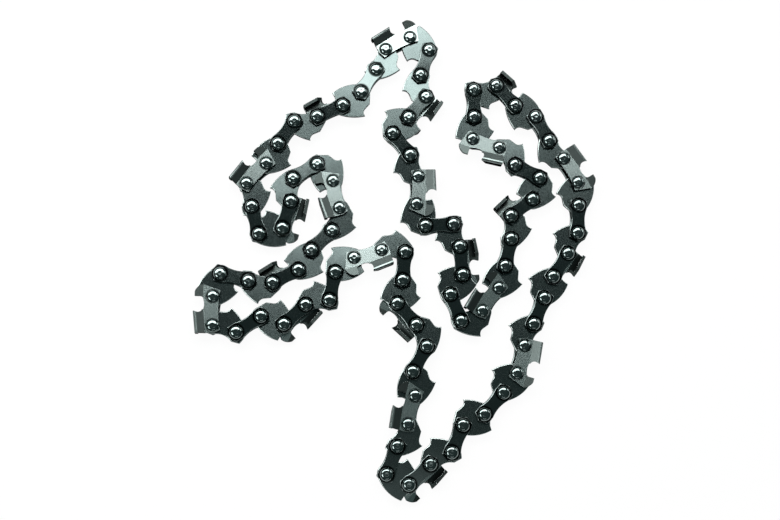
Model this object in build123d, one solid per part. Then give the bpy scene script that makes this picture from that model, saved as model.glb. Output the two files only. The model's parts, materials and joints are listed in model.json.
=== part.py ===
from build123d import *
import os
from math import acos, atan2, cos, degrees, hypot, radians, sin, sqrt, tan

# Low-profile chainsaw chain, a closed loop lying loose on its side. Millimetres and degrees.
# Every link is drawn with its rear rivet at the origin, its front rivet on +X, the cutting side
# towards +Y and the bar side towards -Y. The drive links lie at Z = 0, the plates above and below.

# Rivet spacings. Three rivets in a row span two pitches.
drive_span = 8.45
strap_span = 10.19

# Sheet thicknesses and the side play between a drive link and its plates
drive_gauge = 1.27
plate_thickness = 1.1
side_play = 0.05

# Rivets: the hub turns in the drive link, the shanks are fast in the plates
hub_radius = 2.0
hub_play = 0.05
shank_radius = 1.45
shank_play = 0.02
head_radius = 2.4
head_height = 1.0
head_rim_height = 0.3

# Tie strap
strap_half_height = 3.0
strap_waist_half_height = 2.35
strap_waist_reach = 1.2
strap_corner_reach = 1.7
strap_tip_reach = 3.2
strap_corner_radius = 0.6

# Drive link: tang, lobes round the two rivets, hump of the links that run ahead of a cutter
tang_depth = 7.85
tang_tip_offset = -0.1
tang_flank_reach = 2.9
tang_hook_length = 1.8
tang_hook_depth = 5.75
tang_shoulder_reach = -0.1
tang_shoulder_depth = 5.3
rear_lobe_reach = 3.25
rear_lobe_depth = 1.9
front_lobe_reach = 3.3
front_lobe_depth = 2.2
front_brow_height = 2.3
rear_brow_height = 3.1
hump_height = 6.1
plain_lobe_height = 3.55
plain_waist_height = 2.15
plain_front_height = 3.0

# Cutter: side plate, depth gauge, tooth with its bent-over top plate
cutter_bend_height = 3.3
cutter_foot_depth = 2.6
cutter_waist_depth = 1.9
cutter_rear_reach = 2.65
cutter_rear_foot_reach = 1.75
cutter_rear_corner_drop = 0.3
cutter_front_reach = 4.2
cutter_front_foot_reach = 2.05
gullet_dip = 0.3
gauge_height = 6.25
gauge_rear_reach = 0.1
gauge_sweep = 1.1
gauge_top_length = 1.6
gauge_lean = 0.45
tooth_height = 6.9
tooth_front_reach = 5.6
tooth_heel_reach = 2.7
tooth_relief = 0.1
tooth_lean_length = 2.5
half_kerf = 2.85
top_plate_overreach = 0.9
file_radius = 1.9
file_height = 5.5
file_angle = 30.0
cutting_corner_reach = 5.2

# The lay: each side link's kind and heading, then the heading of the drive link behind it, from the
# front of the loop to the rear, read off the photograph in whole degrees counter-clockwise from +X.
# Strands that lie on each other there are eased apart. The last two links close the loop.
lay = [
    ("right", 86, 109), ("tie", 128, 46), ("left", 50, 103), ("tie", 71, 146),
    ("right", 208, 245), ("tie", 237, 218), ("left", 205, 193), ("tie", 235, 241),
    ("right", 227, 283), ("tie", 285, 14), ("left", 73, 85), ("tie", 32, 312),
    ("right", 283, 251), ("tie", 224, 238), ("left", 207, 175), ("tie", 166, 254),
    ("right", 270, 344), ("tie", 33, 341), ("left", 42, 11), ("tie", 78, 38),
    ("right", 16, 355), ("tie", 264, 256), ("left", 311, 295), ("tie", 240, 275),
    ("right", 255, 243), ("tie", 248, 335), ("left", 42, 28), ("tie", 66, 26),
    ("tie", 47, 54), ("right", 73, 65), ("tie", 66, 66), ("left", 56, 63),
    ("tie", 86, 89), ("right", 119, 127), ("tie", 118, 151), ("left", 132, 192),
    ("tie", 269, 265), ("right", 342, 311), ("tie", 332, 250), ("left", 217, 269),
    ("tie", 256, 253), ("right", 233, 205), ("tie", 111, 57), ("left", 95, 104),
]
closing_kind = "tie"

# Drive links that turn on their own, by number, each with the name of the run of links behind it
first_run = "middle_run"
run_behind = {
    5: "top_link", 6: "left_run", 15: "corner_run", 20: "cross_link", 21: "lower_run",
    25: "bottom_run", 30: "right_run", 32: "right_link", 33: "hook_run", 40: first_run,
}

# Levels worked out from the thicknesses
plate_inner = drive_gauge / 2 + side_play
plate_outer = plate_inner + plate_thickness


def arc(start, through, end):
    return ThreePointArc(start, through, end)


def rivet_holes(span, radius, height):
    return [Pos(x, 0, 0) * Cylinder(radius, height) for x in (0, span)]


def make_rivet():
    dome_height = head_height - head_rim_height
    ball_radius = (head_radius**2 + dome_height**2) / (2 * dome_height)
    ball_centre = plate_outer + head_height - ball_radius
    shoulder, rim = head_radius / 2, plate_outer + head_rim_height
    top = (0, plate_outer + head_height)
    dome = arc((head_radius, rim), (shoulder, ball_centre + sqrt(ball_radius**2 - shoulder**2)), top)
    steps = Polyline(
        (0, 0), (hub_radius, 0), (hub_radius, plate_inner), (shank_radius, plate_inner),
        (shank_radius, plate_outer), (head_radius, plate_outer), (head_radius, rim),
    )
    half = revolve(Plane.XZ * make_face(steps + dome + Line(top, (0, 0))), Axis.Z)
    return half + mirror(half, Plane.XY)


def make_strap():
    middle, waist, tall = strap_span / 2, strap_waist_half_height, strap_half_height
    near, far = strap_waist_reach, strap_span - strap_waist_reach
    corner, tip = strap_corner_reach, strap_tip_reach
    outline = arc((far, tall), (middle, waist), (near, tall))
    outline += Polyline((near, tall), (-corner, tall), (-tip, 0), (-corner, -tall), (near, -tall))
    outline += arc((near, -tall), (middle, -waist), (far, -tall))
    front = strap_span
    outline += Polyline(
        (far, -tall), (front + corner, -tall), (front + tip, 0), (front + corner, tall), (far, tall),
    )
    blank = make_face(outline)
    ends = [v for v in blank.vertices() if not -corner < v.X < front + corner or abs(v.Y) < tall / 2]
    blank = Pos(0, 0, plate_inner) * extrude(fillet(ends, strap_corner_radius), plate_thickness)
    return blank - rivet_holes(strap_span, shank_radius + shank_play, 2 * plate_outer + plate_thickness)


def make_drive_link(humped):
    front, middle = drive_span, drive_span / 2
    tip = (middle + tang_tip_offset, -tang_depth)
    hook_end = (tip[0] + tang_hook_length, -tang_hook_depth)
    hook_through = (tip[0] + 0.35 * tang_hook_length, -0.3 * tang_depth - 0.7 * tang_hook_depth)
    rear_foot = (-0.9 * rear_lobe_reach, -rear_lobe_depth)
    front_foot = (front + 0.8 * front_lobe_reach, -front_lobe_depth)
    front_brow = (front + 0.6 * front_lobe_reach, front_brow_height)
    outline = arc(rear_foot, (tip[0] - tang_flank_reach, -0.785 * tang_depth), tip)
    outline += arc(tip, hook_through, hook_end)
    outline += Polyline(hook_end, (front + tang_shoulder_reach, -tang_shoulder_depth), front_foot)
    outline += arc(front_foot, (front + front_lobe_reach, 0), front_brow)
    if humped:
        rear_brow = (-0.28 * rear_lobe_reach, rear_brow_height)
        hump = (0.1, hump_height)
        outline += arc(front_brow, (0.55 * drive_span, 0.92 * hump_height), hump)
        outline += Polyline(hump, (-0.2, 0.72 * hump_height), rear_brow)
    else:
        rear_brow = (-0.85 * rear_lobe_reach, 0.77 * rear_brow_height)
        front_top = (front - 0.2, plain_front_height)
        waist_start, waist_end = (front - 1.0, 0.92 * plain_front_height), (1.6, 0.85 * plain_lobe_height)
        outline += arc(front_brow, (front + 1.0, 0.97 * plain_front_height), front_top)
        outline += Line(front_top, waist_start)
        outline += arc(waist_start, (middle, plain_waist_height), waist_end)
        outline += Polyline(
            waist_end, (0.8, plain_lobe_height), (-0.68 * rear_lobe_reach, plain_lobe_height), rear_brow,
        )
    outline += arc(rear_brow, (-rear_lobe_reach, 0.4), rear_foot)
    blank = Pos(0, 0, -drive_gauge / 2) * extrude(make_face(outline), drive_gauge)
    return blank - rivet_holes(drive_span, hub_radius + hub_play, 2 * drive_gauge)


def cutter_plate():
    front = strap_span
    bend, foot = cutter_bend_height, -cutter_foot_depth
    gauge_foot = front + gauge_rear_reach - gauge_sweep
    rear_foot, front_foot = (-cutter_rear_foot_reach, foot), (front + cutter_front_foot_reach, foot)
    gullet_middle = ((tooth_front_reach + gauge_foot) / 2, bend - gullet_dip)
    outline = arc(rear_foot, (front / 2, -cutter_waist_depth), front_foot)
    outline += Polyline(front_foot, (front + cutter_front_reach, bend), (gauge_foot, bend))
    outline += arc((gauge_foot, bend), gullet_middle, (tooth_front_reach, bend))
    outline += Polyline(
        (tooth_front_reach, bend), (-cutter_rear_reach, bend),
        (-cutter_rear_reach, -cutter_rear_corner_drop), rear_foot,
    )
    return Pos(0, 0, plate_inner) * extrude(make_face(outline), plate_thickness)


def cutter_gauge():
    # The depth gauge leans out from the bend line: swept up from the gullet, short flat top, round ramp
    front, bend, sweep = strap_span, cutter_bend_height, gauge_sweep
    rise, rear = gauge_height - bend, front + gauge_rear_reach
    foot, swept, toe = (rear - sweep, bend), (rear, bend + sweep), (front + cutter_front_reach, bend)
    brow = (rear + gauge_top_length, gauge_height)
    outline = arc(foot, (rear - sweep * (1 - sin(radians(45))), bend + sweep * (1 - cos(radians(45)))), swept)
    outline += Polyline(swept, (rear, gauge_height), brow)
    outline += arc(brow, (front + 0.74 * cutter_front_reach, bend + 0.7 * rise), toe)
    outline += Line(toe, foot)
    side = extrude(make_face(outline), plate_outer + gauge_lean)
    slab = Polyline(
        (bend, plate_inner), (bend, plate_outer), (gauge_height, plate_outer + gauge_lean),
        (gauge_height, plate_inner + gauge_lean), close=True,
    )
    across = Plane((rear - sweep, 0, 0), x_dir=(0, 1, 0), z_dir=(1, 0, 0))
    return extrude(across * make_face(slab), toe[0] - foot[0]) & side


def cutter_tooth():
    # One bent section, drawn back along the relief angle, with its front ground by a round file
    bend, top = cutter_bend_height, tooth_height
    wall, edge = plate_thickness, -top_plate_overreach
    lean_end = (bend + tooth_lean_length, half_kerf - 0.1 * wall)
    shoulder, crown = (top - 0.6 * wall, half_kerf), (top, half_kerf - 0.7 * wall)
    inner_crown = (top - wall, half_kerf - 1.25 * wall)
    section = Polyline((bend, plate_inner), (bend, plate_outer), lean_end, shoulder)
    section += arc(shoulder, (top - 0.18 * wall, half_kerf - 0.21 * wall), crown)
    section += Polyline(crown, (top, edge), (top - wall, edge), inner_crown, (bend, plate_inner))
    across = Plane((tooth_front_reach, 0, 0), x_dir=(0, 1, 0), z_dir=(1, 0, 0))
    length = (tooth_front_reach + tooth_heel_reach) * hypot(1, tooth_relief)
    blank = extrude(across * make_face(section), length, dir=(-1, -tooth_relief, 0))
    # The file leans with the top plate's cutting edge, so its place shifts with the level
    lean = tan(radians(file_angle))
    level, depth = -2 * top_plate_overreach, half_kerf + 4 * top_plate_overreach
    below_crown = top - 0.2 - file_height
    file_x = cutting_corner_reach + sqrt(file_radius**2 - below_crown**2) - lean * (half_kerf - level)
    path = Circle(file_radius) + Pos(strap_span / 2, file_radius / 2) * Rectangle(strap_span, 3 * file_radius)
    file_path = Pos(file_x, file_height, level) * path
    return blank - extrude(file_path, depth * hypot(1, lean), dir=(lean, 0, 1))


def make_cutter():
    body = cutter_plate() + cutter_gauge() + cutter_tooth()
    return body - rivet_holes(strap_span, shank_radius + shank_play, 2 * plate_outer + plate_thickness)


def heading_of(start, end):
    return degrees(atan2(end[1] - start[1], end[0] - start[0]))


def step(start, heading, length):
    return start[0] + length * cos(radians(heading)), start[1] + length * sin(radians(heading))


def closing_headings(start):
    # The last side link and drive link reach from here back to the loop's first rivet, at (0, 0)
    reach = hypot(*start)
    swing = degrees(acos((strap_span**2 + reach**2 - drive_span**2) / (2 * strap_span * reach)))
    heading = heading_of(start, (0, 0)) + swing
    return heading, heading_of(step(start, heading, strap_span), (0, 0))


def walk_loop():
    # Front and rear rivet of each side link, with the headings, counted from the first rivet
    links, spot = [], (0.0, 0.0)
    for kind, heading, drive_heading in lay:
        rear = step(spot, heading, strap_span)
        links.append((kind, spot, rear, heading, drive_heading))
        spot = step(rear, drive_heading, drive_span)
    heading, drive_heading = closing_headings(spot)
    links.append((closing_kind, spot, step(spot, heading, strap_span), heading, drive_heading))
    return links


def put(piece, rear_rivet, heading):
    # A heading runs from front to rear, and the piece is drawn from rear to front
    return piece.moved(Location((rear_rivet[0], rear_rivet[1], 0), (0, 0, heading + 180)))


upper_strap = make_strap()
lower_strap = mirror(upper_strap, Plane.XY)
right_cutter = make_cutter()
left_cutter = mirror(right_cutter, Plane.XY)
rivet = make_rivet()
humped_link, plain_link = make_drive_link(True), make_drive_link(False)

nodes = {}
links = walk_loop()
run = first_run
for number, (kind, front_rivet, rear_rivet, heading, drive_heading) in enumerate(links, 1):
    plates = {
        "tie": [("tie_straps", upper_strap), ("tie_straps", lower_strap)],
        "right": [("right_cutters", right_cutter), ("tie_straps", lower_strap)],
        "left": [("tie_straps", upper_strap), ("left_cutters", left_cutter)],
    }[kind]
    for group, plate in plates:
        nodes.setdefault(f"{run}_{group}", []).append(put(plate, rear_rivet, heading))
    for spot in (front_rivet, rear_rivet):
        nodes.setdefault(f"{run}_rivets", []).append(put(rivet, spot, heading))
    drive_link = put(
        humped_link if kind == "tie" else plain_link,
        links[number % len(links)][1],
        drive_heading,
    )
    if number in run_behind:
        nodes[f"drive_link_{number:02d}"] = [drive_link]
        run = run_behind[number]
    else:
        nodes.setdefault(f"{run}_drive_links", []).append(drive_link)

# The origin is under the middle of the loop's box, on the level that the left teeth rest on
whole = Compound(children=[piece.moved(Location()) for group in nodes.values() for piece in group])
box = whole.bounding_box()
centre = box.center()
to_origin = Location((-centre.X, -centre.Y, -box.min.Z))

os.makedirs("parts", exist_ok=True)
for name, pieces in nodes.items():
    export_step(Compound(children=[piece.moved(to_origin) for piece in pieces]), f"parts/{name}.step")
    print(name, len(pieces))

print("loop size", round(box.size.X, 2), round(box.size.Y, 2), round(box.size.Z, 2))
for number in run_behind:
    front_pivot, rear_pivot = links[number - 1][2], links[number % len(links)][1]
    for end, pivot in (("front", front_pivot), ("rear", rear_pivot)):
        print(f"pivot {number} {end} {pivot[0] - centre.X:.4f} {pivot[1] - centre.Y:.4f} {-box.min.Z:.4f}")
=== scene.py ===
import json
import math
import random

import bmesh
import bpy
from mathutils import Matrix, Vector


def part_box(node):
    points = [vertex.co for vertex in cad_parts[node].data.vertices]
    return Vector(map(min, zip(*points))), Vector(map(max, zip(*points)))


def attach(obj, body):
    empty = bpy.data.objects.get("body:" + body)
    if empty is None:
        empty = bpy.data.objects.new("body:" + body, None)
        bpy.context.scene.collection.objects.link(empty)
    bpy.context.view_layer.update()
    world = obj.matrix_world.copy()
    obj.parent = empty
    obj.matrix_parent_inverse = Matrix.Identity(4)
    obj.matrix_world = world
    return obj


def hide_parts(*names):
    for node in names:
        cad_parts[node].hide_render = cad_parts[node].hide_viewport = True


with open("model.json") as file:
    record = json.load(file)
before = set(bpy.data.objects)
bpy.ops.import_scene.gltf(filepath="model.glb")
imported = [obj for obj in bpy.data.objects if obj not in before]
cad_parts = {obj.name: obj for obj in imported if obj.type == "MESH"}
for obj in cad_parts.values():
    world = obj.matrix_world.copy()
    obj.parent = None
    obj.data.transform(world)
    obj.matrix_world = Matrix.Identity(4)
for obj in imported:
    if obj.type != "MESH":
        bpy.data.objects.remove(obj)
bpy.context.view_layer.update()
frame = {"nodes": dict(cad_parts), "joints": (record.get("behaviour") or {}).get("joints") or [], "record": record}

scene = bpy.context.scene


def mm(value):
    return value * 0.001


def hexColour(code):
    # sRGB hex to the linear colour that the shaders take
    parts = [int(code[i:i + 2], 16) / 255 for i in (1, 3, 5)]
    return tuple(c / 12.92 if c <= 0.04045 else ((c + 0.055) / 1.055) ** 2.4 for c in parts) + (1.0,)


def addNode(tree, kind, inputs=None, **settings):
    # one node with its settings; an input is a value, or another node's output to link
    node = tree.nodes.new(kind)
    for name, value in settings.items():
        setattr(node, name, value)
    for name, value in (inputs or {}).items():
        socket = node.inputs[name]
        if isinstance(value, bpy.types.NodeSocket):
            tree.links.new(value, socket)
        else:
            socket.default_value = value
    return node


# The lay of the loop
chainLay = {
    "strapSpan": mm(10.19),   # rivet to rivet in a side link
    "driveSpan": mm(8.45),    # rivet to rivet in a drive link
    "closingKind": "tie",     # the last side link, which closes the loop
    "placedBy": 5,            # the drive link whose hinge sets the loop in the frame
    # kind and heading of each side link, then the heading of the drive link behind it, in degrees
    "rows": [
        ("right", 86, 109), ("tie", 128, 46), ("left", 50, 103), ("tie", 71, 146),
        ("right", 208, 245), ("tie", 237, 218), ("left", 205, 193), ("tie", 235, 241),
        ("right", 227, 283), ("tie", 285, 14), ("left", 73, 85), ("tie", 32, 312),
        ("right", 283, 251), ("tie", 224, 238), ("left", 207, 175), ("tie", 166, 254),
        ("right", 270, 344), ("tie", 33, 341), ("left", 42, 11), ("tie", 78, 38),
        ("right", 16, 355), ("tie", 264, 256), ("left", 311, 295), ("tie", 240, 275),
        ("right", 255, 243), ("tie", 248, 335), ("left", 42, 28), ("tie", 66, 26),
        ("tie", 47, 54), ("right", 73, 65), ("tie", 66, 66), ("left", 56, 63),
        ("tie", 86, 89), ("right", 119, 127), ("tie", 118, 151), ("left", 132, 192),
        ("tie", 269, 265), ("right", 342, 311), ("tie", 332, 250), ("left", 217, 269),
        ("tie", 256, 253), ("right", 233, 205), ("tie", 111, 57), ("left", 95, 104),
    ],
    "firstRun": "middle_run",
    "runBehind": {
        5: "top_link", 6: "left_run", 15: "corner_run", 20: "cross_link", 21: "lower_run",
        25: "bottom_run", 30: "right_run", 32: "right_link", 33: "hook_run", 40: "middle_run",
    },
}


def along(start, heading, length):
    return start + Vector((math.cos(math.radians(heading)), math.sin(math.radians(heading)), 0)) * length


def headingOf(step):
    return math.degrees(math.atan2(step.y, step.x))


def walkLoop(lay):
    # rivets and headings of every link, set in the frame by one hinge's place
    spot, links = Vector((0, 0, 0)), []
    for kind, heading, driveHeading in lay["rows"]:
        rear = along(spot, heading, lay["strapSpan"])
        far = along(rear, driveHeading, lay["driveSpan"])
        links.append({"kind": kind, "front": spot, "rear": rear, "far": far,
                      "heading": heading, "driveHeading": driveHeading})
        spot = far
    reach = spot.length   # the last two links close the loop back to its first rivet
    a, b = lay["strapSpan"], lay["driveSpan"]
    heading = headingOf(-spot) + math.degrees(math.acos((a * a + reach * reach - b * b) / (2 * a * reach)))
    rear = along(spot, heading, a)
    links.append({"kind": lay["closingKind"], "front": spot, "rear": rear, "far": Vector((0, 0, 0)),
                  "heading": heading, "driveHeading": headingOf(-rear)})
    hinge = next(j for j in frame["joints"] if j["name"] == f"link_{lay['placedBy']:02d}_turn")
    shift = Vector(hinge["pos_m"]) - links[lay["placedBy"] - 1]["rear"]
    for link in links:
        for end in ("front", "rear", "far"):
            link[end] = link[end] + shift
    return links


links = walkLoop(chainLay)
midLevel = links[0]["front"].z
print("loop walked:", len(links), "side links, mid level", round(midLevel * 1000, 3), "mm")


# Master links: the form of one solid of each kind, with tumbled edges
masterLinks = {
    # node to copy, number of its link, whether that is a drive link, edge radius, flat plate or bent
    "strap": {"node": "cross_link_tie_straps", "link": 21, "drive": False, "edge": mm(0.22), "flat": True},
    "plainDrive": {"node": "drive_link_05", "link": 5, "drive": True, "edge": mm(0.22), "flat": True},
    "humpedDrive": {"node": "drive_link_06", "link": 6, "drive": True, "edge": mm(0.22), "flat": True},
    "rightCutter": {
        "node": "cross_link_right_cutters", "link": 21, "drive": False, "edge": mm(0.12), "flat": False},
    "leftCutter": {
        "node": "right_run_left_cutters", "link": 32, "drive": False, "edge": mm(0.12), "flat": False},
}
edgeShape = {
    "steps": 3,               # facets across a plate's rounded rim
    "cutterSteps": 2,         # facets across a cutter's broken edge
    "sharpAngle": 28,         # degrees between faces from which a cutter's edge is broken
    "flatAngle": 1,           # degrees up to which a cutter's facets are one flat face
    "smoothAngle": 40,        # degrees up to which faces shade as one
    "markAngle": 2,           # the same where a rim, a wall or a bend begins
    "miterLimit": 0.3,        # keeps the rim from running far into the metal at a sharp corner
    "upward": 0.9,            # a top face's normal has at least this much Z
    "levelGap": mm(0.01),     # how far from the top a top face may lie
    "mergeGap": mm(0.0005),   # points closer than this are one
}


def solidOf(spec):
    # one CAD solid, turned back so that its rear rivet is at the origin and it points along +X
    bm = bmesh.new()
    bm.from_mesh(frame["nodes"][spec["node"]].data)
    bmesh.ops.remove_doubles(bm, verts=bm.verts, dist=edgeShape["mergeGap"])
    link = links[spec["link"] - 1]
    rear = link["far"] if spec["drive"] else link["rear"]
    turn = (link["driveHeading"] if spec["drive"] else link["heading"]) + 180
    bm.transform(Matrix.Rotation(-math.radians(turn), 4, "Z") @ Matrix.Translation(-rear))
    return bm


def faceLoops(bm, shape):
    # outline and holes of the upper face, each with the metal on its left
    top = max(v.co.z for v in bm.verts)
    upper = {f for f in bm.faces if f.normal.z > shape["upward"]
             and abs(f.calc_center_median().z - top) < shape["levelGap"]}
    following = {}
    for face in upper:
        for loop in face.loops:
            if not all(f in upper for f in loop.edge.link_faces):
                following[loop.vert] = loop.link_loop_next.vert
    loops = []
    while following:
        start = next(iter(following))
        ring, vert = [], start
        while vert in following:
            ring.append(vert.co.xy.copy())
            vert = following.pop(vert)
        loops.append(ring)
    return loops


def insetRing(ring, depth, miterLimit):
    # every point moves into the metal, square to both of its edges
    moved = []
    for i, point in enumerate(ring):
        before = (point - ring[i - 1]).normalized()
        after = (ring[(i + 1) % len(ring)] - point).normalized()
        left, right = Vector((-before.y, before.x)), Vector((-after.y, after.x))
        miter = (left + right) / max(1 + left.dot(right), miterLimit)
        moved.append(point + miter * depth)
    return moved


def faceMarks(bm):
    # rims that tumbling wears bright, and walls that the punch left rough, which also carry painted shade, as do
    # the cutters' bent faces
    layers = bm.faces.layers.float
    return [layers.get(name) or layers.new(name) for name in ("edgeWear", "shearedWall")]


def finishMesh(bm, name, smoothAngle):
    worn, wall = faceMarks(bm)
    for face in bm.faces:
        face.smooth = True
    for edge in bm.edges:
        # a flat face keeps its own shade up to its rim or its bend
        a, b = edge.link_faces
        begins = a[worn] != b[worn] or a[wall] != b[wall]
        limit = edgeShape["markAngle"] if begins else smoothAngle
        edge.smooth = edge.calc_face_angle() < math.radians(limit)
    mesh = bpy.data.meshes.new(name)
    bm.to_mesh(mesh)
    bm.free()
    # the place on the link goes with each copy, so that marks lie along the link
    place = mesh.attributes.new("linkPlace", "FLOAT_VECTOR", "POINT")
    place.data.foreach_set("vector", [c for v in mesh.vertices for c in v.co])
    return bpy.data.objects.new(name, mesh)


def makePlate(name, spec, shape):
    # a stamped plate about its own middle: flat faces, square wall, rounded rims
    solid = solidOf(spec)
    heights = [v.co.z for v in solid.verts]
    half, edge = (max(heights) - min(heights)) / 2, spec["edge"]
    loops = faceLoops(solid, shape)
    solid.free()
    bm = bmesh.new()
    worn, wall = faceMarks(bm)
    angles = [math.pi / 2 * i / shape["steps"] for i in range(shape["steps"] + 1)]
    upperRim = [(edge * (1 - math.cos(t)), half - edge + edge * math.sin(t)) for t in angles]
    profile = [(inset, -z) for inset, z in reversed(upperRim)] + upperRim
    rims = {0: [], len(profile) - 1: []}
    for ring in loops:
        levels = [[bm.verts.new((*p, z)) for p in insetRing(ring, inset, shape["miterLimit"])]
                  for inset, z in profile]
        for i, (low, high) in enumerate(zip(levels, levels[1:])):
            for j in range(len(ring)):
                k = (j + 1) % len(ring)
                face = bm.faces.new((low[j], low[k], high[k], high[j]))
                # the wall takes the dark wall colour, which is partly painted shade
                face[wall if i == shape["steps"] else worn] = 1.0
        for i in rims:
            rims[i] += [bm.edges.get((levels[i][j - 1], levels[i][j])) for j in range(len(ring))]
    for i, edges in rims.items():
        bmesh.ops.triangle_fill(bm, use_beauty=True, edges=edges, normal=(0, 0, -1 if i == 0 else 1))
    bmesh.ops.recalc_face_normals(bm, faces=bm.faces)
    return finishMesh(bm, name, shape["smoothAngle"])


cutterShadeMarks = {
    # how dark a face stays, from 0 to 1: painted shade, standing in for the shade and the dark surroundings that
    # the bent faces show; the upright walls are rough as well
    "wall": 1.0, "lean": 0.78, "inside": 0.9, "crown": 0.45, "gauge": 0.85,
    # how much of a face's normal points to the cutter's outer side
    "uprightBelow": 0.05, "leanFrom": 0.9, "leanTo": 0.96, "flatFrom": 0.998,
    "footLevel": mm(1.0),     # the foot's inner face lies between the middle and this level
    "crownLevel": mm(2.2),    # the crown lies above this level
}


def makeCutter(name, spec, shape):
    # the whole cutter with its bends, all sharp edges broken
    bm, marks = solidOf(spec), cutterShadeMarks
    bmesh.ops.dissolve_limit(
        bm, angle_limit=math.radians(shape["flatAngle"]), verts=bm.verts, edges=bm.edges)
    sharp = [e for e in bm.edges if len(e.link_faces) == 2
             and e.calc_face_angle() > math.radians(shape["sharpAngle"])]
    worn, wall = faceMarks(bm)
    side = math.copysign(1, sum(v.co.z for v in bm.verts))
    # painted shade: each face takes its share of the dark wall colour by the way it faces
    for face in bm.faces:
        out, level = face.normal.z * side, face.calc_center_median().z * side
        if abs(out) < marks["uprightBelow"]:
            face[wall] = marks["wall"]
        elif marks["leanFrom"] < out < marks["leanTo"]:
            face[wall] = marks["lean"]
        elif -marks["leanTo"] < out < 0 or (out < 0 and not 0 < level < marks["footLevel"]):
            face[wall] = marks["inside"]
        elif out > 0 and level > marks["crownLevel"]:
            face[wall] = marks["crown"]
        elif marks["leanTo"] < out < marks["flatFrom"]:
            face[wall] = marks["gauge"]
    done = bmesh.ops.bevel(bm, geom=sharp, offset=spec["edge"], segments=shape["cutterSteps"], profile=0.5,
                           affect="EDGES", clamp_overlap=True, loop_slide=True)
    for face in done["faces"]:
        face[worn], face[wall] = 1.0, 0.0
    bmesh.ops.triangulate(bm, faces=[f for f in bm.faces if len(f.verts) > 4])
    return finishMesh(bm, name, shape["smoothAngle"])


rivetShape = {
    "hubRadius": mm(2.0), "shankRadius": mm(1.45),
    "plateInner": mm(0.685), "plateOuter": mm(1.785),   # the side plates' faces, from the middle
    "headRadius": mm(2.4), "headHeight": mm(1.0),
    "faceRadius": mm(1.6), "ballRadius": mm(5.2),       # the nearly flat face under the spinning tool
    "shoulderSlope": 30,                                # degrees, where the shoulder leaves that face
    "dimpleRadius": mm(0.8), "dimpleDepth": mm(0.02),
    "around": 32, "steps": 4, "smoothAngle": 35,
}


def headProfile(shape):
    # round shoulder, nearly flat face and dimple of one head, from its seat to its middle
    r, face, ball, steps = shape["headRadius"], shape["faceRadius"], shape["ballRadius"], shape["steps"]
    low, top = shape["plateOuter"], shape["plateOuter"] + shape["headHeight"]

    def dome(x):
        return top - ball + math.sqrt(ball * ball - x * x)

    # the shoulder's arc goes through the face's rim and the seat
    upper = math.radians(shape["shoulderSlope"])
    lower = 2 * math.atan2(dome(face) - low, r - face) - upper
    bend = (r - face) / (math.sin(lower) - math.sin(upper))
    points = []
    for i in range(steps + 1):
        slope = lower + (upper - lower) * i / steps
        inward = bend * (math.sin(lower) - math.sin(slope))
        points.append((r - inward, low + bend * (math.cos(slope) - math.cos(lower))))
    for i in range(1, steps + 1):
        x = face + (shape["dimpleRadius"] - face) * i / steps
        points.append((x, dome(x)))
    lip = points[-1][1]
    for i in range(1, steps):
        share = 1 - i / steps
        points.append((shape["dimpleRadius"] * share, lip - shape["dimpleDepth"] * (1 - share * share)))
    return points + [(0, lip - shape["dimpleDepth"])]


def makeRivet(shape):
    half = [(shape["hubRadius"], shape["plateInner"]), (shape["shankRadius"], shape["plateInner"]),
            (shape["shankRadius"], shape["plateOuter"])] + headProfile(shape)
    profile = [(x, -z) for x, z in reversed(half)] + half
    bm = bmesh.new()
    verts = [bm.verts.new((x, 0, z)) for x, z in profile]
    edges = [bm.edges.new(pair) for pair in zip(verts, verts[1:])]
    bmesh.ops.spin(bm, geom=verts + edges, axis=(0, 0, 1), cent=(0, 0, 0), angle=math.tau,
                   steps=shape["around"], use_merge=True)
    bmesh.ops.remove_doubles(bm, verts=bm.verts, dist=edgeShape["mergeGap"])
    bmesh.ops.recalc_face_normals(bm, faces=bm.faces)
    return finishMesh(bm, "rivet", shape["smoothAngle"])


masters = {"rivet": makeRivet(rivetShape)}
for name, spec in masterLinks.items():
    masters[name] = (makePlate if spec["flat"] else makeCutter)(name, spec, edgeShape)
for name, obj in masters.items():
    print("master", name, len(obj.data.polygons), "faces")


# Materials
steelPattern = {
    "linkShift": 0.7,                           # metres by which the links' patterns may lie apart
    "mottleDetail": 3.0, "mottleRough": 0.6, "grainDetail": 2.0, "grainRough": 0.5,
    "grainLow": 0.3, "grainHigh": 0.7,          # the noise's usual range, which sets the roughness
    # width over which the painted shadow around the rivet heads fades
    "shadowRingBlurMm": 0.5,
    "wallShadedSheen": "#39423f",                     # painted shade on what a wall mirrors at a low angle
}


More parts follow.
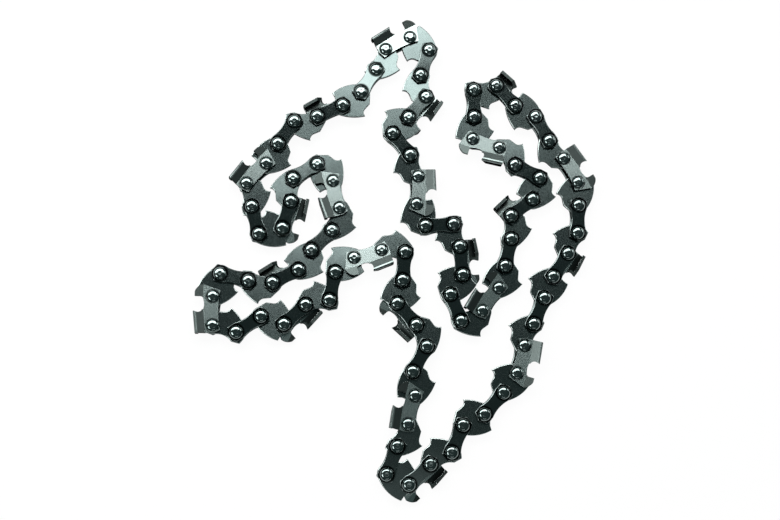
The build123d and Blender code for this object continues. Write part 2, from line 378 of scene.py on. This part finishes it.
def steelMaterial(name, finish, pattern=steelPattern):
    material = bpy.data.materials.new(name)
    material.use_nodes = True
    tree = material.node_tree
    tree.nodes.clear()
    place = addNode(tree, "ShaderNodeAttribute", attribute_name="linkPlace")
    tone = addNode(tree, "ShaderNodeAttribute", attribute_name="linkTone")
    wear = addNode(tree, "ShaderNodeAttribute", attribute_name="edgeWear")
    wall = addNode(tree, "ShaderNodeAttribute", attribute_name="shearedWall")
    # each link shifts its pattern by its own tone, so that no two look alike
    offset = addNode(tree, "ShaderNodeMath", {
        0: tone.outputs["Fac"], 1: pattern["linkShift"]}, operation="MULTIPLY")
    shift = addNode(tree, "ShaderNodeVectorMath", {
        0: place.outputs["Vector"], 1: offset.outputs[0]}, operation="ADD")
    mottle = addNode(tree, "ShaderNodeTexNoise", {
        "Vector": shift.outputs[0], "Scale": 1 / mm(finish["mottleMm"]),
        "Detail": pattern["mottleDetail"], "Roughness": pattern["mottleRough"]})
    # the real grain is finer than a pixel, so it is drawn coarser here
    grainPlace = addNode(tree, "ShaderNodeMapping", {
        "Vector": shift.outputs[0], "Scale": finish["grainStretch"]})
    grain = addNode(tree, "ShaderNodeTexNoise", {
        "Vector": grainPlace.outputs[0], "Scale": 1 / mm(finish["grainMm"]),
        "Detail": pattern["grainDetail"], "Roughness": pattern["grainRough"]})
    sway = addNode(tree, "ShaderNodeTexNoise", {
        "Vector": shift.outputs[0], "Scale": 1 / mm(finish["swayMm"]), "Detail": 0.0})
    # slack rivets let each link lie a little off level: a slope along Y in the shading alone
    lean = addNode(tree, "ShaderNodeAttribute", attribute_name="lean")
    spot = addNode(tree, "ShaderNodeTexCoord")
    level = addNode(tree, "ShaderNodeSeparateXYZ", {0: spot.outputs["Object"]})
    slope = addNode(tree, "ShaderNodeMath", {
        0: level.outputs["Y"], 1: lean.outputs["Fac"]}, operation="MULTIPLY")
    leaning = addNode(tree, "ShaderNodeBump", {
        "Height": slope.outputs[0], "Strength": 1.0, "Distance": 1.0})
    base = addNode(tree, "ShaderNodeMix", {
        0: mottle.outputs["Fac"], 6: hexColour(finish["dark"]), 7: hexColour(finish["light"])},
        data_type="RGBA")
    edged = addNode(tree, "ShaderNodeMath", {
        0: wear.outputs["Fac"], 1: finish["edgeWear"]}, operation="MULTIPLY")
    worn = addNode(tree, "ShaderNodeMix", {
        0: edged.outputs[0], 6: base.outputs[2], 7: hexColour(finish["edge"])}, data_type="RGBA")
    # painted shade: walls and the cutters' bent faces mix towards the dark wall colour, for the rough sheared
    # metal and for the shade and dark surroundings they show
    shadedBase = addNode(tree, "ShaderNodeMix", {
        0: wall.outputs["Fac"], 6: worn.outputs[2], 7: hexColour(finish["wall"])}, data_type="RGBA")
    if finish["shadowRingMm"]:
        # painted shadow: a dark ring around the rivet heads, at the origin and one span along the link
        flat = addNode(tree, "ShaderNodeVectorMath", {
            0: place.outputs["Vector"], 1: (1, 1, 0)}, operation="MULTIPLY")
        rear = addNode(tree, "ShaderNodeVectorMath", {0: flat.outputs[0]}, operation="LENGTH")
        front = addNode(tree, "ShaderNodeVectorMath", {
            0: flat.outputs[0], 1: (chainLay["strapSpan"], 0, 0)}, operation="DISTANCE")
        nearest = addNode(tree, "ShaderNodeMath", {
            0: rear.outputs["Value"], 1: front.outputs["Value"]}, operation="MINIMUM")
        ring = addNode(tree, "ShaderNodeMapRange", {
            0: nearest.outputs[0], 1: mm(finish["shadowRingMm"] - pattern["shadowRingBlurMm"]),
            2: mm(finish["shadowRingMm"]), 3: 1.0, 4: 0.0})
        shadedBase = addNode(tree, "ShaderNodeMix", {
            0: ring.outputs[0], 6: shadedBase.outputs[2], 7: hexColour(finish["ring"])}, data_type="RGBA")
    rough = addNode(tree, "ShaderNodeMapRange", {
        0: grain.outputs["Fac"], 1: pattern["grainLow"], 2: pattern["grainHigh"],
        3: finish["roughLow"], 4: finish["roughHigh"]})
    roughWall = addNode(tree, "ShaderNodeMath", {
        0: wall.outputs["Fac"], 1: finish["wallRough"], 2: rough.outputs[0]}, operation="MULTIPLY_ADD")
    dished = addNode(tree, "ShaderNodeBump", {
        "Height": sway.outputs["Fac"], "Strength": 1.0, "Distance": mm(finish["swayDepthMm"]),
        "Normal": leaning.outputs[0]})
    marked = addNode(tree, "ShaderNodeBump", {
        "Height": grain.outputs["Fac"], "Strength": 1.0, "Distance": mm(finish["grainDepthMm"]),
        "Normal": dished.outputs[0]})
    # painted shade: walls mirror little at a low angle, which darkens what they show of the white floor; rough
    # walls also shade themselves in part
    lowAngle = addNode(tree, "ShaderNodeMix", {
        0: wall.outputs["Fac"], 6: (1, 1, 1, 1), 7: hexColour(pattern["wallShadedSheen"])}, data_type="RGBA")
    shader = addNode(tree, "ShaderNodeBsdfPrincipled", {
        "Base Color": shadedBase.outputs[2], "Metallic": 1.0, "Roughness": roughWall.outputs[0],
        "Specular Tint": lowAngle.outputs[2], "Normal": marked.outputs[0]})
    addNode(tree, "ShaderNodeOutputMaterial", {"Surface": shader.outputs[0]})
    return material


# in each finish the wall colour is partly painted shade, on the walls and on the cutters' bent faces
strapFinish = {   # blued strip steel, stamped and tumbled: dark, slightly green, nearly smooth
    "dark": "#596362", "light": "#65706e", "edge": "#949f9d", "edgeWear": 0.55,
    "wall": "#1c2322", "wallRough": 0.25, "roughLow": 0.1, "roughHigh": 0.14, "mottleMm": 2.5,
    "grainMm": 0.6, "grainStretch": (0.35, 1.0, 1.0), "grainDepthMm": 0.001,
    # ring is a painted shadow around the rivet heads
    "swayMm": 9, "swayDepthMm": 0.03, "ring": "#101514", "shadowRingMm": 3.2,
}
driveFinish = {   # blued strip steel, tumbled brighter and rougher on its open faces
    "dark": "#596362", "light": "#677371", "edge": "#bcc7c4", "edgeWear": 0.8,
    "wall": "#1c2322", "wallRough": 0.2, "roughLow": 0.18, "roughHigh": 0.22, "mottleMm": 2.0,
    "grainMm": 0.7, "grainStretch": (1.0, 1.0, 1.0), "grainDepthMm": 0.001,
    "swayMm": 10, "swayDepthMm": 0.08, "shadowRingMm": 0,
}
cutterFinish = {   # hard-chromed tooth steel: pale, brushed along the link
    "dark": "#9eaba8", "light": "#a9b6b3", "edge": "#d8dedd", "edgeWear": 0.5,
    "wall": "#1f2624", "wallRough": 0.15, "roughLow": 0.24, "roughHigh": 0.26, "mottleMm": 3.0,
    "grainMm": 0.5, "grainStretch": (0.2, 1.0, 1.0), "grainDepthMm": 0.0005,
    # ring is a painted shadow around the rivet heads
    "swayMm": 12, "swayDepthMm": 0.06, "ring": "#101514", "shadowRingMm": 2.75,
}
rivetFinish = {   # spun rivet heads: polished steel
    "dark": "#778381", "light": "#828e8c", "edge": "#d8dedd", "edgeWear": 0.0,
    "wall": "#39423f", "wallRough": 0.0, "roughLow": 0.1, "roughHigh": 0.14, "mottleMm": 1.2,
    "grainMm": 1.0, "grainStretch": (1.0, 1.0, 1.0), "grainDepthMm": 0.002,
    "swayMm": 3, "swayDepthMm": 0.05, "shadowRingMm": 0,
}
finishes = {
    "tie_strap_steel": steelMaterial("bluedStripSteelTumbled", strapFinish),
    "drive_link_steel": steelMaterial("bluedStripSteelBright", driveFinish),
    "cutter_steel": steelMaterial("chromedToothSteelBrushed", cutterFinish),
    "rivet_steel": steelMaterial("polishedRivetSteel", rivetFinish),
}
print("materials made:", len(finishes))


# The tree that sets a master on every link of a run
def linkTree():
    tree = bpy.data.node_groups.new("linksOnRivets", "GeometryNodeTree")
    face = tree.interface
    face.new_socket("Rivets", in_out="INPUT", socket_type="NodeSocketGeometry")
    face.new_socket("Link", in_out="INPUT", socket_type="NodeSocketObject")
    face.new_socket("Other Form", in_out="INPUT", socket_type="NodeSocketObject")
    face.new_socket("Finish", in_out="INPUT", socket_type="NodeSocketMaterial")
    face.new_socket("Seed", in_out="INPUT", socket_type="NodeSocketInt")
    face.new_socket("Links", in_out="OUTPUT", socket_type="NodeSocketGeometry")
    given = addNode(tree, "NodeGroupInput")
    heading = addNode(tree, "GeometryNodeInputNamedAttribute", {"Name": "heading"}, data_type="FLOAT")
    other = addNode(tree, "GeometryNodeInputNamedAttribute", {"Name": "otherForm"}, data_type="BOOLEAN")
    usual = addNode(tree, "FunctionNodeBooleanMath", {0: other.outputs[0]}, operation="NOT")
    euler = addNode(tree, "ShaderNodeCombineXYZ", {"Z": heading.outputs[0]})
    turn = addNode(tree, "FunctionNodeEulerToRotation", {0: euler.outputs[0]})
    joined = addNode(tree, "GeometryNodeJoinGeometry")
    for socket, chosen in (("Link", usual), ("Other Form", other)):
        master = addNode(tree, "GeometryNodeObjectInfo", {"Object": given.outputs[socket]})
        copies = addNode(tree, "GeometryNodeInstanceOnPoints", {
            "Points": given.outputs["Rivets"], "Selection": chosen.outputs[0],
            "Instance": master.outputs["Geometry"], "Rotation": turn.outputs[0]})
        tree.links.new(copies.outputs[0], joined.inputs[0])
    chance = addNode(tree, "FunctionNodeRandomValue", {"Seed": given.outputs["Seed"]}, data_type="FLOAT")
    toned = addNode(tree, "GeometryNodeStoreNamedAttribute", {
        "Geometry": joined.outputs[0], "Name": "linkTone", "Value": chance.outputs[1]},
        data_type="FLOAT", domain="INSTANCE")
    real = addNode(tree, "GeometryNodeRealizeInstances", {0: toned.outputs[0]})
    dressed = addNode(tree, "GeometryNodeSetMaterial", {
        0: real.outputs[0], "Material": given.outputs["Finish"]})
    addNode(tree, "NodeGroupOutput", {0: dressed.outputs[0]})
    return tree


linksOnRivets = linkTree()
sockets = {item.name: item.identifier
           for item in linksOnRivets.interface.items_tree if item.in_out == "INPUT"}


def setLinks(node, body, places, seed):
    # places are (master, rivet place, turn and lean in degrees); a run's drive links come in two forms
    forms = sorted({p[0] for p in places})
    mesh = bpy.data.meshes.new(node)
    mesh.from_pydata([p[1] for p in places], [], [])
    heading = mesh.attributes.new("heading", "FLOAT", "POINT")
    heading.data.foreach_set("value", [math.radians(p[2]) for p in places])
    lean = mesh.attributes.new("lean", "FLOAT", "POINT")
    lean.data.foreach_set("value", [-math.tan(math.radians(p[3])) for p in places])
    other = mesh.attributes.new("otherForm", "BOOLEAN", "POINT")
    other.data.foreach_set("value", [p[0] != forms[0] for p in places])
    piece = bpy.data.objects.new(f"{node}.steel", mesh)
    scene.collection.objects.link(piece)
    finish = next(s["material_slot"] for s in frame["record"]["subparts"] if s["node"] == node)
    modifier = piece.modifiers.new("links", "NODES")
    modifier.node_group = linksOnRivets
    modifier[sockets["Link"]] = masters[forms[0]]
    modifier[sockets["Other Form"]] = masters[forms[-1]]
    modifier[sockets["Finish"]] = finishes[finish]
    modifier[sockets["Seed"]] = seed
    bpy.context.view_layer.update()
    made = bpy.data.meshes.new_from_object(piece.evaluated_get(bpy.context.evaluated_depsgraph_get()))
    piece.modifiers.remove(modifier)
    piece.data = made
    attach(piece, body)
    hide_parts(node)
    return piece


# Which link goes on which piece
lieOfLinks = {
    # degrees by which a link leans towards +Y, where it shows in the photograph; the rest by chance
    "side": {
        3: 0.7, 4: -0.8, 6: 2.0, 7: -1.5, 12: 3.1, 13: 1.4, 14: 4.2, 15: 2.0, 16: 4.8, 17: 2.2,
        19: 2.5, 21: 4.6, 23: 3.0, 30: 3.3, 34: -0.5, 36: -1.6, 37: -1.4, 38: 0.0, 42: -1.6,
    },
    "drive": {
        1: -2.0, 2: 0.5, 3: 2.2, 4: 0.2, 5: 2.0, 8: -0.8, 9: 1.0, 11: 3.1, 12: 2.1, 13: 1.8,
        14: 4.6, 15: 4.5, 18: 5.4, 19: 4.6, 20: 5.3, 21: 3.7, 22: 3.3, 23: 2.5, 28: 3.0, 30: 2.5,
        35: -1.9, 36: -1.8, 37: -0.4, 38: 1.2,
    },
    "chance": 0.6, "seed": 7,   # up to this many degrees either way
}
strapLift = midLevel - sum(v.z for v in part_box("cross_link_tie_straps")) / 2


def gatherPlaces():
    places, run, lie = {}, chainLay["firstRun"], lieOfLinks
    chance = random.Random(lie["seed"])
    for number, link in enumerate(links, 1):
        turn = link["heading"] + 180
        above = link["rear"] + Vector((0, 0, strapLift))
        below = link["rear"] - Vector((0, 0, strapLift))
        plates = {
            "tie": [("tie_straps", "strap", above), ("tie_straps", "strap", below)],
            "right": [("right_cutters", "rightCutter", link["rear"]), ("tie_straps", "strap", below)],
            "left": [("tie_straps", "strap", above), ("left_cutters", "leftCutter", link["rear"])],
        }[link["kind"]]
        leans = [lie["side"].get(number, chance.uniform(-lie["chance"], lie["chance"])) for plate in plates]
        for (group, master, spot), lean in zip(plates, leans):
            places.setdefault((run, f"{run}_{group}"), []).append((master, spot, turn, lean))
        for end in ("front", "rear"):
            places.setdefault((run, f"{run}_rivets"), []).append(("rivet", link[end], turn, leans[0]))
        lean = lie["drive"].get(number, chance.uniform(-lie["chance"], lie["chance"]))
        drive = ("humpedDrive" if link["kind"] == "tie" else "plainDrive",
                 link["far"], link["driveHeading"] + 180, lean)
        if number in chainLay["runBehind"]:
            name = f"drive_link_{number:02d}"
            places[(name, name)] = [drive]
            run = chainLay["runBehind"][number]
        else:
            places.setdefault((run, f"{run}_drive_links"), []).append(drive)
    return places


pieces = []
for seed, ((body, node), places) in enumerate(gatherPlaces().items()):
    pieces.append(setLinks(node, body, places, seed))
print("pieces set:", len(pieces), "with", sum(len(p.data.polygons) for p in pieces), "faces")


# Floor, light and camera
floorLook = {
    "size": 12.0, "colour": "#fdfdfd",
    "glow": 0.95,   # share that is seen as plain white; the rest shows the shadow
}


def makeFloor(look):
    mesh = bpy.data.meshes.new("floor")
    s = look["size"] / 2
    mesh.from_pydata([(-s, -s, 0), (s, -s, 0), (s, s, 0), (-s, s, 0)], [], [(0, 1, 2, 3)])
    floor = bpy.data.objects.new("floor", mesh)
    scene.collection.objects.link(floor)
    material = bpy.data.materials.new("paperSweep")   # matt white paper, seen as plain white
    material.use_nodes = True
    tree = material.node_tree
    tree.nodes.clear()
    ray = addNode(tree, "ShaderNodeLightPath")
    seen = addNode(tree, "ShaderNodeMath", {
        0: ray.outputs["Is Camera Ray"], 1: ray.outputs["Is Glossy Ray"]}, operation="MAXIMUM")
    seenAll = addNode(tree, "ShaderNodeMath", {
        0: seen.outputs[0], 1: ray.outputs["Is Transmission Ray"]}, operation="MAXIMUM")
    share = addNode(tree, "ShaderNodeMath", {0: seenAll.outputs[0], 1: look["glow"]}, operation="MULTIPLY")
    paper = addNode(tree, "ShaderNodeBsdfDiffuse", {"Color": hexColour(look["colour"])})
    glow = addNode(tree, "ShaderNodeEmission", {"Color": (1, 1, 1, 1), "Strength": 1.0})
    mix = addNode(tree, "ShaderNodeMixShader", {
        0: share.outputs[0], 1: paper.outputs[0], 2: glow.outputs[0]})
    addNode(tree, "ShaderNodeOutputMaterial", {"Surface": mix.outputs[0]})
    mesh.materials.append(material)
    return floor


makeFloor(floorLook)

studioLook = {
    "sideLevel": 0.05, "topLevel": 0.09,   # strength of the dim walls and of the ceiling
    "sideUpTo": 0.2, "topFrom": 0.9,       # the direction's Z between which one turns into the other
    "colour": "#d8ffff",
}


def makeWorld(look):
    # the camera sees white beyond the floor; the steel mirrors a dim studio
    world = bpy.data.worlds.new("studio")
    world.use_nodes = True
    tree = world.node_tree
    tree.nodes.clear()
    direction = addNode(tree, "ShaderNodeTexCoord")
    split = addNode(tree, "ShaderNodeSeparateXYZ", {0: direction.outputs["Generated"]})
    height = addNode(tree, "ShaderNodeMapRange", {
        0: split.outputs["Z"], 1: look["sideUpTo"], 2: look["topFrom"],
        3: look["sideLevel"], 4: look["topLevel"]})
    ray = addNode(tree, "ShaderNodeLightPath")
    level = addNode(tree, "ShaderNodeMath", {
        0: height.outputs[0], 1: ray.outputs["Is Camera Ray"]}, operation="MAXIMUM")
    hue = addNode(tree, "ShaderNodeMix", {
        0: ray.outputs["Is Camera Ray"], 6: hexColour(look["colour"]), 7: (1, 1, 1, 1)}, data_type="RGBA")
    sky = addNode(tree, "ShaderNodeBackground", {"Color": hue.outputs[2], "Strength": level.outputs[0]})
    addNode(tree, "ShaderNodeOutputWorld", {"Surface": sky.outputs[0]})
    return world


scene.world = makeWorld(studioLook)

softboxes = [
    # a large one behind, a smaller one at the left, a low one at the right,
    # a fill in front and a dim one near the camera
    {"place": (-0.5, 0.72, 0.9), "aim": (-0.5, 0.72, 0), "size": (2.0, 0.67), "watts": 27.5},
    {"place": (-0.72, -0.29, 0.85), "aim": (0, 0, 0), "size": (0.45, 0.45), "watts": 3.5},
    {"place": (0.85, 0.45, 0.42), "aim": (0, 0, 0), "size": (0.4, 0.3), "watts": 1.5},
    {"place": (0.1, -0.9, 0.6), "aim": (0, 0, 0), "size": (0.6, 0.15), "watts": 0.5},
    {"place": (0.07, -0.14, 0.9), "aim": (0.07, -0.14, 0), "size": (0.18, 0.08), "watts": 0.03},
]


def makeLamp(name, box):
    lamp = bpy.data.lights.new(name, "AREA")
    lamp.shape = "RECTANGLE"
    lamp.size, lamp.size_y = box["size"]
    lamp.energy = box["watts"]
    obj = bpy.data.objects.new(name, lamp)
    obj.location = box["place"]
    obj.rotation_euler = (Vector(box["aim"]) - Vector(box["place"])).to_track_quat("-Z", "Y").to_euler()
    scene.collection.objects.link(obj)


for i, box in enumerate(softboxes, 1):
    makeLamp(f"softbox{i}", box)

cameraView = {   # fitted to the rivets in the photograph; angles in degrees
    "azimuth": 23.79, "elevation": 78.88, "roll": 23.53, "distance": 0.42625, "focalPixels": 1199.0,
    "aim": (-0.00304, -0.00227, 0.003), "imageWidth": 780, "sensorMm": 36, "clip": (0.01, 20),
}


def makeCamera(view):
    az, el, roll = (math.radians(view[k]) for k in ("azimuth", "elevation", "roll"))
    forward = Vector((math.sin(az) * math.cos(el), math.cos(az) * math.cos(el), -math.sin(el)))
    right = Vector((math.cos(az), -math.sin(az), 0))
    up = right.cross(forward)
    across = right * math.cos(roll) + up * math.sin(roll)
    upright = up * math.cos(roll) - right * math.sin(roll)
    data = bpy.data.cameras.new("camera")
    data.sensor_width = view["sensorMm"]
    data.lens = view["focalPixels"] * view["sensorMm"] / view["imageWidth"]
    data.clip_start, data.clip_end = view["clip"]
    camera = bpy.data.objects.new("camera", data)
    turn = Matrix((across, upright, -forward)).transposed().to_4x4()
    camera.matrix_world = Matrix.Translation(Vector(view["aim"]) - forward * view["distance"]) @ turn
    scene.collection.objects.link(camera)
    return camera


scene.camera = makeCamera(cameraView)
scene.view_settings.view_transform = "Standard"
print("stage set")
